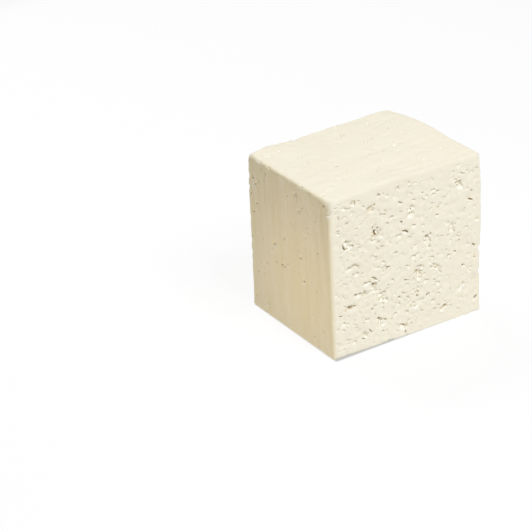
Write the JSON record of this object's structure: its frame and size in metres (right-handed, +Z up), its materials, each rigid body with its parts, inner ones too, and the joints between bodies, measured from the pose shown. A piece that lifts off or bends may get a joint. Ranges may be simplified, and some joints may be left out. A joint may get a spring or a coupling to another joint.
{
  "type": "block of fresh white cheese",
  "caption": "Upright block of fresh white brined cheese with soft worn edges, smooth pressed faces and cut faces full of small irregular openings.",
  "frame": {"origin": "middle of the block's footprint, on the surface that it stands on", "axes": "+Z up; -Y out of the cut face with the most openings; -X out of the smooth pressed side"},
  "size_m": [0.1028, 0.0874, 0.0991],
  "materials": {
    "white_curd": "moist matt white curd with a warm cream tint, slightly translucent at its edges"
  },
  "bodies": {
    "root": {"cheese_block": "white_curd"}
  },
  "joints": []
}
